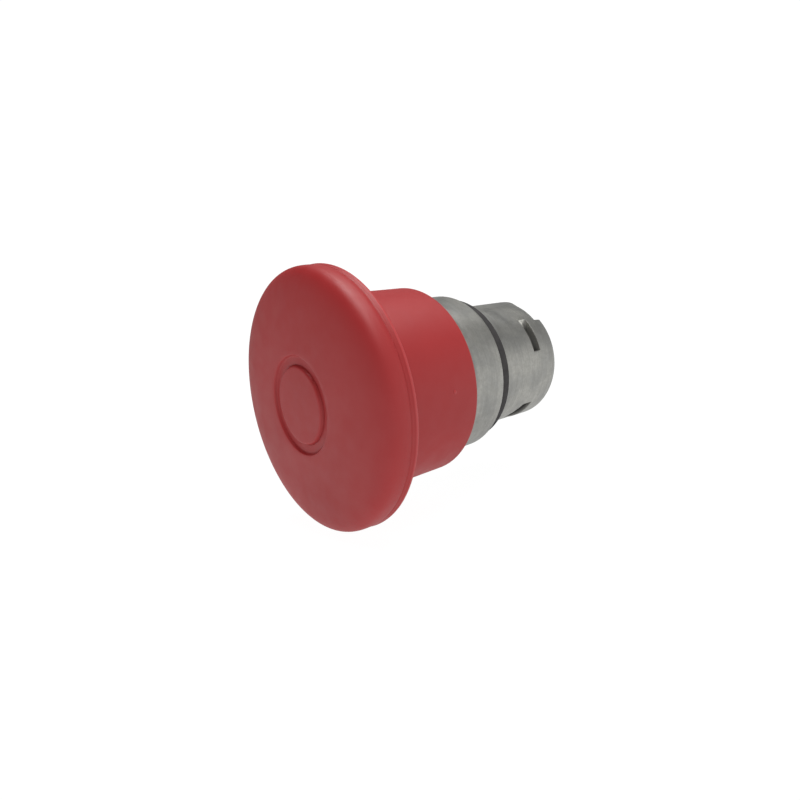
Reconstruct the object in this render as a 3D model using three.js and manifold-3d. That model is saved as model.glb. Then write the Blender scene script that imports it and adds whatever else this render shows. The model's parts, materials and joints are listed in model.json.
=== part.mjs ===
// Emergency stop operator head for a 22 mm panel hole: a 40 mm push-pull mushroom on a long
// skirt, a die-cast bezel and tube, and a pusher at the back that works a contact block.
//
// Millimetres. The button's axis is Y, the mushroom faces -Y and +Z is up. The origin is on
// the axis, halfway between the cap's face and the tube's rear rim. Places along the axis
// are given as "ahead", the distance in front of the panel's face, and angles round it run
// clockwise from the top as seen from the front. The button is drawn pulled out.

import * as THREE from 'three';
import { mergeVertices } from 'three/addons/utils/BufferGeometryUtils.js';
import Module from 'manifold-3d';

const wasm = await Module();
wasm.setup();

// ---- Driving dimensions ----

const CAP_RADIUS = 20;
const FACE_AHEAD = 32.1;
const RIM_AHEAD = -15.3;
const PANEL_Y = (FACE_AHEAD + RIM_AHEAD) / 2;

const TRAVEL = 6; // the head's stroke, from latched out to latched in
const RUNNING_GAP = 0.1; // between a sliding piece and its guide
const FIT_GAP = 0.05; // between pieces that don't move on each other
const EDGE = 0.3; // the usual broken edge
const PAST = 1; // how far a cutting tool reaches past the face it cuts

const TUBE_RADIUS = 11;
const TUBE_END_RADIUS = 10.4;
const BORE_RADIUS = 9.2;
const RING_GROOVE_RADIUS = 9.7;
const POCKET_FLOOR_RADIUS = 9.75; // where a bayonet pocket is deepest
const LOCK_POCKET = { from: 49, to: 82.5, front: -9.25, rear: -10.75 };
const ENTRY_POCKET = { from: 136, to: 172, deepFront: -8.8, shallowFront: -3.5, rear: -10.95 };
const RIM_STEP = { from: 20, to: 52, ahead: -13.6 };
const PANEL_KEY = { halfAngle: 7, height: 0.5, front: -0.2, rear: -1.6 };
const CARRIER_RING_GROOVE = { front: 0.5, rear: -0.3 };
const REAR_RING_GROOVE = { front: -11.2, rear: -12 };
const BEZEL_RADIUS = 13.4;
const GASKET_RADIUS = 12.7;
const GASKET_THICKNESS = 2.3;
const BEZEL_FRONT = 15.5;
const SKIRT_RADIUS = 15.4;
const SKIRT_WALL = 1.6;
const SKIRT_REAR = 10.6;

const WEB_REAR = 7.5; // the casting's inner web
const WEB_FRONT = 9.5;
const SEAT_RADIUS = 9; // bush and seal seat, ahead of the web
const BUSH_HOLE_RADIUS = 6.3; // through the web

const STEM_RADIUS = 4.5;
const LATCH_AHEAD = 3; // where the latch wires sit
const LATCH_FLOOR_RADIUS = 3.5;
const CAP_SEAT = FACE_AHEAD - 5; // the cap's boss stands on the skirt's web here
const FLANGE_FRONT = CAP_SEAT - 1.5; // the stem's flange carries the skirt's web
const FLANGE_THICKNESS = 1.6;

const PUSHER_FRONT = -0.6;
const PUSHER_REAR = -11.6;
const PUSHER_FLANGE_REAR = -1.6;
const PUSHER_SLEEVE_RADIUS = 5.9;
const PUSHER_FLAT = 5.2; // half the width across the sleeve's two flats
const PUSHER_FLOOR = -9.5;
const STEM_SHOULDER = -2.5; // the drive spring's front seat
const GUIDE_PLATE_FRONT = -10;
const GUIDE_PLATE_REAR = -11.15;

const ROUND = 48; // sides of a turned piece that shows
const ROUND_INSIDE = 28; // sides of a turned piece inside

const HALF_TURNS = [0, 180];

// ---- Materials ----

function finish(color, roughness, metalness) {
  return new THREE.MeshStandardMaterial({ color, roughness, metalness });
}

const RED_PLASTIC = finish(0xa83a3c, 0.5, 0);
const CAST_METAL = finish(0x9a9893, 0.45, 0.9);
const BLACK_RUBBER = finish(0x2c2b2b, 0.8, 0);
const WHITE_PLASTIC = finish(0xd9d6cd, 0.45, 0);
const BLACK_PLASTIC = finish(0x26262a, 0.5, 0);
const STEEL = finish(0xa9acb0, 0.35, 1);
const SPRING_STEEL = finish(0x84878c, 0.3, 1);
const BRASS = finish(0xb08d4a, 0.35, 1);

// ---- Geometry helpers ----

function signedVolume(geometry) {
  const corners = geometry.attributes.position;
  const index = geometry.index.array;
  const a = new THREE.Vector3();
  const b = new THREE.Vector3();
  const c = new THREE.Vector3();
  let volume = 0;
  for (let i = 0; i < index.length; i += 3) {
    a.fromBufferAttribute(corners, index[i]);
    b.fromBufferAttribute(corners, index[i + 1]);
    c.fromBufferAttribute(corners, index[i + 2]);
    volume += a.dot(b.cross(c)) / 6;
  }
  return volume;
}

// Welds shared corners, drops triangles with no area and turns the faces outward.
function closed(geometry) {
  geometry.deleteAttribute('normal');
  geometry.deleteAttribute('uv');
  const welded = mergeVertices(geometry, 1e-4);
  const kept = [];
  const index = welded.index.array;
  for (let i = 0; i < index.length; i += 3) {
    const [a, b, c] = [index[i], index[i + 1], index[i + 2]];
    if (a !== b && b !== c && c !== a) {
      kept.push(a, b, c);
    }
  }
  welded.setIndex(kept);
  if (signedVolume(welded) < 0) {
    welded.setIndex(kept.reverse());
  }
  welded.computeVertexNormals();
  return welded;
}

// A piece turned on the button's axis. The outline is a list of [radius, ahead].
function turned(outline, sides = ROUND_INSIDE) {
  const points = outline.map(([radius, ahead]) => new THREE.Vector2(radius, PANEL_Y - ahead));
  const last = points[points.length - 1];
  if (points[0].x > 0 || last.x > 0) {
    points.push(points[0].clone());
  }
  return closed(new THREE.LatheGeometry(points, sides));
}

// A block bent round the axis, from one angle to another. Its sides are numbers, or
// functions of the share of the arc.
function bentBlock({ from, to, inner, outer, front, rear, steps = 8 }) {
  const at = (side, share) => (typeof side === 'function' ? side(share) : side);
  const positions = [];
  const index = [];
  for (let step = 0; step <= steps; step += 1) {
    const share = step / steps;
    const angle = THREE.MathUtils.degToRad(THREE.MathUtils.lerp(from, to, share));
    for (const [side, end] of [[inner, rear], [outer, rear], [outer, front], [inner, front]]) {
      const radius = at(side, share);
      positions.push(
        radius * Math.sin(angle),
        PANEL_Y - at(end, share),
        radius * Math.cos(angle),
      );
    }
  }
  for (let step = 0; step < steps; step += 1) {
    for (let corner = 0; corner < 4; corner += 1) {
      const a = step * 4 + corner;
      const b = step * 4 + ((corner + 1) % 4);
      index.push(a, b, b + 4, a, b + 4, a + 4);
    }
  }
  const end = steps * 4;
  index.push(0, 3, 2, 0, 2, 1);
  index.push(end, end + 1, end + 2, end, end + 2, end + 3);
  const geometry = new THREE.BufferGeometry();
  geometry.setAttribute('position', new THREE.Float32BufferAttribute(positions, 3));
  geometry.setIndex(index);
  return closed(geometry);
}

// A straight round bar along the axis, off the axis by x and z.
function bar(radius, front, rear, sides, x = 0, z = 0) {
  const geometry = new THREE.CylinderGeometry(radius, radius, front - rear, sides);
  geometry.translate(x, PANEL_Y - (front + rear) / 2, z);
  return closed(geometry);
}

// A box with its middle at x and z, between two places along the axis.
function block(width, height, front, rear, x = 0, z = 0) {
  const geometry = new THREE.BoxGeometry(width, front - rear, height);
  geometry.translate(x, PANEL_Y - (front + rear) / 2, z);
  return closed(geometry);
}

// Round wire along a curve.
function wire(path, radius, steps, sides = 6) {
  const corners = [];
  for (let side = 0; side < sides; side += 1) {
    const angle = (side / sides) * 2 * Math.PI;
    corners.push(new THREE.Vector2(radius * Math.cos(angle), radius * Math.sin(angle)));
  }
  const section = new THREE.Shape(corners);
  const settings = { steps, extrudePath: path, bevelEnabled: false };
  return closed(new THREE.ExtrudeGeometry(section, settings));
}

// The centre line of a coil spring whose end coils lie flat, one wire's width apart.
class CoilLine extends THREE.Curve {
  constructor({ radius, wireRadius, front, rear, turns }) {
    super();
    this.radius = radius;
    this.turns = turns;
    this.front = front - wireRadius;
    this.rear = rear + wireRadius;
    this.flatTurns = 0.75;
    this.flatRise = this.flatTurns * 2 * wireRadius;
  }

  getPoint(share, target = new THREE.Vector3()) {
    const turn = share * this.turns;
    const openTurns = this.turns - 2 * this.flatTurns;
    const openRise = this.front - this.rear - 2 * this.flatRise;
    const started = Math.min(turn, this.flatTurns) / this.flatTurns;
    const opened = THREE.MathUtils.clamp((turn - this.flatTurns) / openTurns, 0, 1);
    const ended = Math.max(turn - this.flatTurns - openTurns, 0) / this.flatTurns;
    const ahead = this.front - (started + ended) * this.flatRise - opened * openRise;
    const angle = turn * 2 * Math.PI;
    return target.set(
      this.radius * Math.sin(angle),
      PANEL_Y - ahead,
      this.radius * Math.cos(angle),
    );
  }
}

function coilSpring(settings) {
  const stepsPerTurn = 12;
  const steps = Math.round(settings.turns * stepsPerTurn);
  return wire(new CoilLine(settings), settings.wireRadius, steps);
}

function solidOf(geometry) {
  const mesh = new wasm.Mesh({
    numProp: 3,
    vertProperties: geometry.attributes.position.array,
    triVerts: Uint32Array.from(geometry.index.array),
  });
  return new wasm.Manifold(mesh);
}

function geometryOf(solid) {
  const mesh = solid.getMesh();
  const geometry = new THREE.BufferGeometry();
  geometry.setAttribute('position', new THREE.BufferAttribute(mesh.vertProperties, 3));
  geometry.setIndex(new THREE.BufferAttribute(mesh.triVerts, 1));
  return closed(geometry);
}

function cut(geometry, ...tools) {
  let solid = solidOf(geometry);
  for (const tool of tools) {
    solid = solid.subtract(solidOf(tool));
  }
  return geometryOf(solid);
}

function join(geometry, ...extras) {
  let solid = solidOf(geometry);
  for (const extra of extras) {
    solid = solid.add(solidOf(extra));
  }
  return geometryOf(solid);
}

// ---- Housing ----

// Bayonet pocket that deepens along its arc and ends in a square wall.
function lockPocket(turn) {
  return bentBlock({
    from: turn + LOCK_POCKET.from,
    to: turn + LOCK_POCKET.to,
    inner: (share) => THREE.MathUtils.lerp(TUBE_RADIUS, POCKET_FLOOR_RADIUS, share),
    outer: TUBE_RADIUS + PAST,
    front: LOCK_POCKET.front,
    rear: LOCK_POCKET.rear,
  });
}

// Wider bayonet pocket that is deep at its square entry and climbs back to the surface.
function entryPocket(turn) {
  const { from, to, deepFront, shallowFront, rear } = ENTRY_POCKET;
  return bentBlock({
    from: turn + from,
    to: turn + to,
    inner: (share) => THREE.MathUtils.lerp(POCKET_FLOOR_RADIUS, TUBE_RADIUS, share),
    outer: TUBE_RADIUS + PAST,
    front: (share) => THREE.MathUtils.lerp(deepFront, shallowFront, share),
    rear,
  });
}

// One of the two steps in the tube's rear rim.
function rimStep(turn) {
  return bentBlock({
    from: turn + RIM_STEP.from,
    to: turn + RIM_STEP.to,
    inner: BORE_RADIUS - PAST,
    outer: TUBE_RADIUS + PAST,
    front: RIM_STEP.ahead,
    rear: RIM_AHEAD - PAST,
  });
}

// The key that stops the head turning in its panel hole.
function panelKey() {
  return bentBlock({
    from: -PANEL_KEY.halfAngle,
    to: PANEL_KEY.halfAngle,
    inner: (TUBE_RADIUS + BORE_RADIUS) / 2,
    outer: TUBE_RADIUS + PANEL_KEY.height,
    front: PANEL_KEY.front,
    rear: PANEL_KEY.rear,
    steps: 3,
  });
}

// A snap ring's groove in the bore, rear edge first.
function ringGroove({ front, rear }) {
  return [
    [BORE_RADIUS, rear],
    [RING_GROOVE_RADIUS, rear],
    [RING_GROOVE_RADIUS, front],
    [BORE_RADIUS, front],
  ];
}

function bodyCasting() {
  const shoulder = TUBE_RADIUS - 0.2;
  const taper = 0.5;
  const shell = turned([
    [SEAT_RADIUS, WEB_FRONT],
    [SEAT_RADIUS, BEZEL_FRONT],
    [BEZEL_RADIUS - EDGE, BEZEL_FRONT],
    [BEZEL_RADIUS, BEZEL_FRONT - EDGE],
    [BEZEL_RADIUS, GASKET_THICKNESS + EDGE],
    [BEZEL_RADIUS - EDGE, GASKET_THICKNESS],
    [TUBE_RADIUS, GASKET_THICKNESS],
    [TUBE_RADIUS, RIM_AHEAD + 2 * taper],
    [shoulder, RIM_AHEAD + taper],
    [TUBE_END_RADIUS, RIM_AHEAD],
    [BORE_RADIUS, RIM_AHEAD],
    ...ringGroove(REAR_RING_GROOVE),
    ...ringGroove(CARRIER_RING_GROOVE),
    [BORE_RADIUS, WEB_REAR],
    [BUSH_HOLE_RADIUS, WEB_REAR],
    [BUSH_HOLE_RADIUS, WEB_FRONT],
  ], ROUND);
  const keyed = join(shell, panelKey());
  const cuts = HALF_TURNS.flatMap((turn) => [lockPocket(turn), entryPocket(turn), rimStep(turn)]);
  return cut(keyed, ...cuts);
}

function panelGasket() {
  const inner = TUBE_RADIUS + FIT_GAP;
  const corner = 0.25;
  return turned([
    [inner, 0],
    [GASKET_RADIUS - corner, 0],
    [GASKET_RADIUS, corner],
    [GASKET_RADIUS, GASKET_THICKNESS - corner],
    [GASKET_RADIUS - corner, GASKET_THICKNESS],
    [inner, GASKET_THICKNESS],
  ], ROUND);
}

const BUSH_FLANGE_FRONT = 11.2;
const SEAL_FRONT = 14;
const SEATED_RADIUS = SEAT_RADIUS - FIT_GAP;
const STEM_BEARING_RADIUS = STEM_RADIUS + 0.05;

function guideBush() {
  const sleeveRadius = BUSH_HOLE_RADIUS - 0.1;
  const sleeveRear = WEB_REAR + 0.1;
  return turned([
    [STEM_BEARING_RADIUS, sleeveRear],
    [sleeveRadius, sleeveRear],
    [sleeveRadius, WEB_FRONT],
    [SEATED_RADIUS, WEB_FRONT],
    [SEATED_RADIUS, BUSH_FLANGE_FRONT],
    [STEM_BEARING_RADIUS, BUSH_FLANGE_FRONT],
  ]);
}

// A U-section lip seal whose inner lip runs on the stem.
function stemLipSeal() {
  const wall = 1.1;
  const floor = BUSH_FLANGE_FRONT + 1.2;
  const heel = 5.6;
  const lipRoot = 6.2;
  const lipBack = 5.3;
  return turned([
    [heel, BUSH_FLANGE_FRONT],
    [SEATED_RADIUS, BUSH_FLANGE_FRONT],
    [SEATED_RADIUS, SEAL_FRONT],
    [SEATED_RADIUS - wall, SEAL_FRONT],
    [SEATED_RADIUS - wall - EDGE, floor],
    [lipRoot, floor],
    [lipBack, SEAL_FRONT - 0.1],
    [STEM_BEARING_RADIUS, SEAL_FRONT - 0.5],
  ]);
}

function sealRetainer() {
  const sheet = 0.6;
  const holeRadius = 5.4;
  const front = BEZEL_FRONT - 0.2;
  return turned([
    [holeRadius, SEAL_FRONT],
    [SEATED_RADIUS, SEAL_FRONT],
    [SEATED_RADIUS, front],
    [SEATED_RADIUS - sheet, front],
    [SEATED_RADIUS - sheet, SEAL_FRONT + sheet],
    [holeRadius, SEAL_FRONT + sheet],
  ]);
}

const CARRIER_FRONT = 6.7;
const CARRIER_REAR = CARRIER_RING_GROOVE.front;
const BORE_FIT_RADIUS = BORE_RADIUS - RUNNING_GAP;

function thrustWasher() {
  const holeRadius = STEM_RADIUS + 0.3;
  return turned([
    [holeRadius, CARRIER_FRONT],
    [BORE_FIT_RADIUS, CARRIER_FRONT],
    [BORE_FIT_RADIUS, WEB_REAR],
    [holeRadius, WEB_REAR],
  ]);
}

const WIRE_RADIUS = 0.45;
const WIRE_HEIGHT = 4.1;

function latchCarrier() {
  const holeRadius = STEM_RADIUS + 0.15;
  const ring = turned([
    [holeRadius, CARRIER_REAR],
    [BORE_FIT_RADIUS, CARRIER_REAR],
    [BORE_FIT_RADIUS, CARRIER_FRONT],
    [holeRadius, CARRIER_FRONT],
  ]);
  const channelWidth = 1.6;
  const channelInner = 3.4;
  const channelOuter = 5.8;
  const channels = [-1, 1].map((side) => block(
    2 * BORE_RADIUS,
    channelOuter - channelInner,
    LATCH_AHEAD + channelWidth / 2,
    LATCH_AHEAD - channelWidth / 2,
    0,
    side * (channelInner + channelOuter) / 2,
  ));
  return cut(ring, ...channels);
}

// A straight spring wire across the stem, with its ends bent outward. side is 1 or -1.
function latchWire(side) {
  const y = PANEL_Y - LATCH_AHEAD;
  const bends = [
    [4.5, 0],
    [5.6, 0.1],
    [6.5, 0.9],
  ];
  const right = bends.map(([x, rise]) => new THREE.Vector3(x, y, side * (WIRE_HEIGHT + rise)));
  const left = right.map((point) => new THREE.Vector3(-point.x, y, point.z)).reverse();
  return wire(new THREE.CatmullRomCurve3([...left, ...right]), WIRE_RADIUS, 20);
}

// An open ring in a groove of the tube. Its mouth is centred on an angle.
function snapRing(groove, mouthAngle) {
  const halfMouth = 16;
  const standsProud = 0.9;
  return bentBlock({
    from: mouthAngle + halfMouth,
    to: mouthAngle + 360 - halfMouth,
    inner: BORE_RADIUS - standsProud,
    outer: RING_GROOVE_RADIUS - RUNNING_GAP,
    front: groove.front - FIT_GAP,
    rear: groove.rear + FIT_GAP,
    steps: 24,
  });
}

function returnSpring() {
  return coilSpring({
    radius: 7.4,
    wireRadius: 0.4,
    front: PUSHER_FLANGE_REAR,
    rear: GUIDE_PLATE_FRONT,
    turns: 3.5,
  });
}

// The plate's hole has two flats, like the pusher's sleeve, so the pusher can't turn.
function rearGuidePlate() {
  const disc = bar(BORE_FIT_RADIUS, GUIDE_PLATE_FRONT, GUIDE_PLATE_REAR, ROUND);
  const front = GUIDE_PLATE_FRONT + PAST;
  const rear = GUIDE_PLATE_REAR - PAST;
  const toolHole = { radius: 0.6, off: 7.6, sides: 16 };
  const roundHole = solidOf(bar(PUSHER_SLEEVE_RADIUS + RUNNING_GAP, front, rear, ROUND));
  const acrossFlats = 2 * (PUSHER_FLAT + RUNNING_GAP);
  const hole = roundHole.intersect(solidOf(block(2 * BORE_RADIUS, acrossFlats, front, rear)));
  const toolHoles = [-1, 1].map((side) => (
    bar(toolHole.radius, front, rear, toolHole.sides, side * toolHole.off)
  ));
  return cut(disc, geometryOf(hole), ...toolHoles);
}

// ---- Head ----

const GROOVE_OUTER = 7.45;
const GROOVE_INNER = 6;
const GROOVE_DEPTH = 0.6;
const PLUG_SEAT = FACE_AHEAD - 1.6;
const WELL_RADIUS = 4.6;
const WELL_FLOOR = FACE_AHEAD - 3.5;
const O_RING_RADIUS = 4.75;
const O_RING_SECTION = 0.5;

// The cap's crown: flat in the middle and rolled over at the edge, as a superellipse.
function crownOutline() {
  const power = 5.2;
  const height = 4.95;
  const base = FACE_AHEAD - height;
  const steps = 10;
  const first = Math.asin((GROOVE_OUTER / CAP_RADIUS) ** (power / 2));
  const outline = [];
  for (let step = 0; step <= steps; step += 1) {
    const angle = THREE.MathUtils.lerp(first, Math.PI / 2, step / steps);
    const radius = CAP_RADIUS * Math.sin(angle) ** (2 / power);
    const rise = Math.max(Math.cos(angle), 0) ** (2 / power);
    outline.push([radius, base + height * rise]);
  }
  return outline;
}

function mushroomCap() {
  const screwHole = 2.3;
  const hollowTop = FACE_AHEAD - 2.3;
  const hollowInner = 8.5;
  const hollowOuter = 13.2;
  const skirtRecess = SKIRT_RADIUS + 0.1;
  const lipRear = FACE_AHEAD - 5.8;
  const grooveFloor = FACE_AHEAD - GROOVE_DEPTH;
  const sealGrooveInner = O_RING_RADIUS - 0.6;
  const sealGrooveOuter = O_RING_RADIUS + 0.6;
  const sealGrooveFloor = CAP_SEAT + 1.1;
  const plugBore = GROOVE_INNER + FIT_GAP;
  return turned([
    ...crownOutline(),
    [CAP_RADIUS - 0.05, lipRear + 0.4],
    [CAP_RADIUS - 0.3, lipRear],
    [CAP_RADIUS - 0.7, lipRear + 0.1],
    [skirtRecess, lipRear + 0.5],
    [skirtRecess, CAP_SEAT],
    [hollowOuter, CAP_SEAT],
    [hollowOuter, hollowTop],
    [hollowInner, hollowTop],
    [hollowInner, CAP_SEAT],
    [sealGrooveOuter, CAP_SEAT],
    [sealGrooveOuter, sealGrooveFloor],
    [sealGrooveInner, sealGrooveFloor],
    [sealGrooveInner, CAP_SEAT],
    [screwHole, CAP_SEAT],
    [screwHole, WELL_FLOOR],
    [WELL_RADIUS, WELL_FLOOR],
    [WELL_RADIUS, PLUG_SEAT],
    [plugBore, PLUG_SEAT],
    [plugBore, grooveFloor],
    [GROOVE_OUTER - EDGE, grooveFloor],
  ], ROUND);
}

function centrePlug() {
  const collarOuter = WELL_RADIUS - 0.1;
  const collarInner = 3.9;
  const collarRear = PLUG_SEAT - 1.3;
  return turned([
    [0, PLUG_SEAT],
    [collarInner, PLUG_SEAT],
    [collarInner, collarRear],
    [collarOuter, collarRear],
    [collarOuter, PLUG_SEAT],
    [GROOVE_INNER, PLUG_SEAT],
    [GROOVE_INNER, FACE_AHEAD - EDGE],
    [GROOVE_INNER - EDGE, FACE_AHEAD],
    [0, FACE_AHEAD],
  ], ROUND);
}

function skirt() {
  const inner = SKIRT_RADIUS - SKIRT_WALL;
  const webHole = 4.1;
  const corner = 0.5;
  return turned([
    [webHole, FLANGE_FRONT],
    [inner - corner, FLANGE_FRONT],
    [inner, FLANGE_FRONT - corner],
    [inner, SKIRT_REAR + EDGE],
    [inner + EDGE, SKIRT_REAR],
    [SKIRT_RADIUS - corner, SKIRT_REAR],
    [SKIRT_RADIUS, SKIRT_REAR + corner],
    [SKIRT_RADIUS, CAP_SEAT],
    [webHole, CAP_SEAT],
  ], ROUND);
}

const INSERT_REAR = CAP_SEAT - 8;
const INSERT_RADIUS = 3;
const SCREW_RADIUS = 1.95;
const SCREW_REAR = INSERT_REAR + 0.5;
const WASHER_THICKNESS = 0.3;
const SCREW_HEAD_RADIUS = 3.5;
const SCREW_HEAD_FRONT = PLUG_SEAT - 0.1;

// A latch groove with sloping sides, rear edge first.
function latchGroove(ahead) {
  const halfMouth = 1.3;
  const halfFloor = 0.6;
  return [
    [STEM_RADIUS, ahead - halfMouth],
    [LATCH_FLOOR_RADIUS, ahead - halfFloor],
    [LATCH_FLOOR_RADIUS, ahead + halfFloor],
    [STEM_RADIUS, ahead + halfMouth],
  ];
}

function stem() {
  const spigotRadius = 2.6;
  const spigotRear = -6.5;
  const flangeRadius = 8;
  const noseRadius = 4;
  const wellRadius = INSERT_RADIUS + FIT_GAP;
  const pilotRadius = SCREW_RADIUS + 0.15;
  const pilotFloor = INSERT_REAR - 2.5;
  return turned([
    [0, spigotRear],
    [spigotRadius - EDGE, spigotRear],
    [spigotRadius, spigotRear + EDGE],
    [spigotRadius, STEM_SHOULDER],
    [STEM_RADIUS - EDGE, STEM_SHOULDER],
    [STEM_RADIUS, STEM_SHOULDER + EDGE],
    ...latchGroove(LATCH_AHEAD),
    ...latchGroove(LATCH_AHEAD + TRAVEL),
    [STEM_RADIUS, FLANGE_FRONT - FLANGE_THICKNESS],
    [flangeRadius, FLANGE_FRONT - FLANGE_THICKNESS],
    [flangeRadius, FLANGE_FRONT],
    [noseRadius, FLANGE_FRONT],
    [noseRadius, CAP_SEAT],
    [wellRadius, CAP_SEAT],
    [wellRadius, INSERT_REAR],
    [pilotRadius, INSERT_REAR],
    [pilotRadius, pilotFloor],
    [0, pilotFloor],
  ]);
}

function stemInsert() {
  const bore = SCREW_RADIUS + 0.1;
  const waist = INSERT_RADIUS - 0.25;
  const middle = (INSERT_REAR + CAP_SEAT) / 2;
  const front = CAP_SEAT - 0.1;
  return turned([
    [bore, INSERT_REAR],
    [INSERT_RADIUS, INSERT_REAR],
    [INSERT_RADIUS, middle - 1],
    [waist, middle - 0.7],
    [waist, middle + 0.7],
    [INSERT_RADIUS, middle + 1],
    [INSERT_RADIUS, front],
    [bore, front],
  ]);
}

function capScrew() {
  const headRear = WELL_FLOOR + WASHER_THICKNESS;
  const sides = 32;
  const socketRadius = 1.45;
  const socketDepth = 1;
  const blank = turned([
    [0, SCREW_REAR],
    [SCREW_RADIUS - EDGE, SCREW_REAR],
    [SCREW_RADIUS, SCREW_REAR + EDGE],
    [SCREW_RADIUS, headRear],
    [SCREW_HEAD_RADIUS, headRear],
    [SCREW_HEAD_RADIUS, SCREW_HEAD_FRONT - EDGE],
    [SCREW_HEAD_RADIUS - EDGE, SCREW_HEAD_FRONT],
    [0, SCREW_HEAD_FRONT],
  ], sides);
  const socket = bar(socketRadius, SCREW_HEAD_FRONT + PAST, SCREW_HEAD_FRONT - socketDepth, 6);
  return cut(blank, socket);
}

function screwLockWasher() {
  return bentBlock({
    from: 5,
    to: 352,
    inner: SCREW_RADIUS + 0.15,
    outer: SCREW_HEAD_RADIUS - 0.1,
    front: WELL_FLOOR + WASHER_THICKNESS,
    rear: WELL_FLOOR,
    steps: 20,
  });
}

function stemORing() {
  const sectionSides = 8;
  const ahead = CAP_SEAT + O_RING_SECTION + 0.03;
  const geometry = new THREE.TorusGeometry(
    O_RING_RADIUS,
    O_RING_SECTION,
    sectionSides,
    ROUND_INSIDE,
  );
  geometry.rotateX(Math.PI / 2);
  geometry.translate(0, PANEL_Y - ahead, 0);
  return closed(geometry);
}

// ---- Pusher ----

function rearPusher() {
  const sleeveBore = STEM_RADIUS + 0.15;
  const dishRadius = 3.6;
  const dishDepth = 0.8;
  const blank = turned([
    [0, PUSHER_FLOOR],
    [sleeveBore, PUSHER_FLOOR],
    [sleeveBore, PUSHER_FRONT],
    [BORE_FIT_RADIUS, PUSHER_FRONT],
    [BORE_FIT_RADIUS, PUSHER_FLANGE_REAR],
    [PUSHER_SLEEVE_RADIUS, PUSHER_FLANGE_REAR],
    [PUSHER_SLEEVE_RADIUS, PUSHER_REAR + EDGE],
    [PUSHER_SLEEVE_RADIUS - EDGE, PUSHER_REAR],
    [dishRadius, PUSHER_REAR],
    [dishRadius, PUSHER_REAR + dishDepth],
    [0, PUSHER_REAR + dishDepth],
  ], ROUND);
  const depth = 2;
  const flats = [-1, 1].map((side) => block(
    2 * BORE_RADIUS,
    depth,
    PUSHER_FLANGE_REAR,
    PUSHER_REAR - PAST,
    0,
    side * (PUSHER_FLAT + depth / 2),
  ));
  return cut(blank, ...flats);
}

function driveSpring() {
  return coilSpring({
    radius: 3.6,
    wireRadius: 0.35,
    front: STEM_SHOULDER,
    rear: PUSHER_FLOOR,
    turns: 5.5,
  });
}

// ---- Assembly ----

function assemble(pieces) {
  const group = new THREE.Group();
  for (const [name, geometry, material] of pieces) {
    const mesh = new THREE.Mesh(geometry, material.clone());
    mesh.name = name;
    group.add(mesh);
  }
  return group;
}

const housing = assemble([
  ['body_casting', bodyCasting(), CAST_METAL],
  ['panel_gasket', panelGasket(), BLACK_RUBBER],
  ['guide_bush', guideBush(), WHITE_PLASTIC],
  ['stem_lip_seal', stemLipSeal(), BLACK_RUBBER],
  ['seal_retainer', sealRetainer(), STEEL],
  ['thrust_washer', thrustWasher(), STEEL],
  ['latch_carrier', latchCarrier(), BLACK_PLASTIC],
  ['latch_wire_upper', latchWire(1), SPRING_STEEL],
  ['latch_wire_lower', latchWire(-1), SPRING_STEEL],
  ['carrier_snap_ring', snapRing(CARRIER_RING_GROOVE, 0), SPRING_STEEL],
  ['return_spring', returnSpring(), SPRING_STEEL],
  ['rear_guide_plate', rearGuidePlate(), BLACK_PLASTIC],
  ['rear_snap_ring', snapRing(REAR_RING_GROOVE, 180), SPRING_STEEL],
]);

const head = assemble([
  ['mushroom_cap', mushroomCap(), RED_PLASTIC],
  ['centre_plug', centrePlug(), RED_PLASTIC],
  ['skirt', skirt(), RED_PLASTIC],
  ['stem', stem(), WHITE_PLASTIC],
  ['stem_insert', stemInsert(), BRASS],
  ['cap_screw', capScrew(), STEEL],
  ['screw_lock_washer', screwLockWasher(), SPRING_STEEL],
  ['stem_o_ring', stemORing(), BLACK_RUBBER],
]);

const pusher = assemble([
  ['rear_pusher', rearPusher(), WHITE_PLASTIC],
  ['drive_spring', driveSpring(), SPRING_STEEL],
]);

const button = new THREE.Group();
button.add(housing, head, pusher);

export default button;
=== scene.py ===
"""Looks of a panel-mount emergency stop head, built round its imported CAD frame.

The button's axis is Y, the mushroom faces -Y and +Z is up. Lengths below are millimetres.
Places along the axis are "ahead": the distance in front of the panel's face, which is the
gasket's rear face. Angles round the axis run clockwise from the top, seen from the front.
"""

import json
import math

import bpy
from mathutils import Matrix, Vector


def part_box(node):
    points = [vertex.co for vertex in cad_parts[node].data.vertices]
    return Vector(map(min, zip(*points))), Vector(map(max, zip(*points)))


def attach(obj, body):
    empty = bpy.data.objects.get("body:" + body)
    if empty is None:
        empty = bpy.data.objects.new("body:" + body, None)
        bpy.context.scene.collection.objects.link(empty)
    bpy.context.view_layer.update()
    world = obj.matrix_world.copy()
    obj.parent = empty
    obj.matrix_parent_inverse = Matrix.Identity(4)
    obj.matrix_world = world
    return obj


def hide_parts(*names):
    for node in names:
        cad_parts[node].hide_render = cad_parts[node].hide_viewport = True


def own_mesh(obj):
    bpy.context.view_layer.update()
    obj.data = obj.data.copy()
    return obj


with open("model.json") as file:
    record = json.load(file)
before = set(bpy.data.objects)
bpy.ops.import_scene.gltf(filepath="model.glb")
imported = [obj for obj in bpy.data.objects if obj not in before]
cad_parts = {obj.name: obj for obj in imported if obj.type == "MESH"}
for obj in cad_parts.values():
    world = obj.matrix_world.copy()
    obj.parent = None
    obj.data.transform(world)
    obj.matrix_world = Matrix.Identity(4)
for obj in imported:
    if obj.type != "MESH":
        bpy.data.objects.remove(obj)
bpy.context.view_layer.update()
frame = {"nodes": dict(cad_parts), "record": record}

MM = 0.001
PANEL_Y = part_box("panel_gasket")[1].y / MM


def ahead_span(node):
    """The rear and front end of a CAD node along the axis, as ahead."""
    low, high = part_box(node)
    return PANEL_Y - high.y / MM, PANEL_Y - low.y / MM


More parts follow.
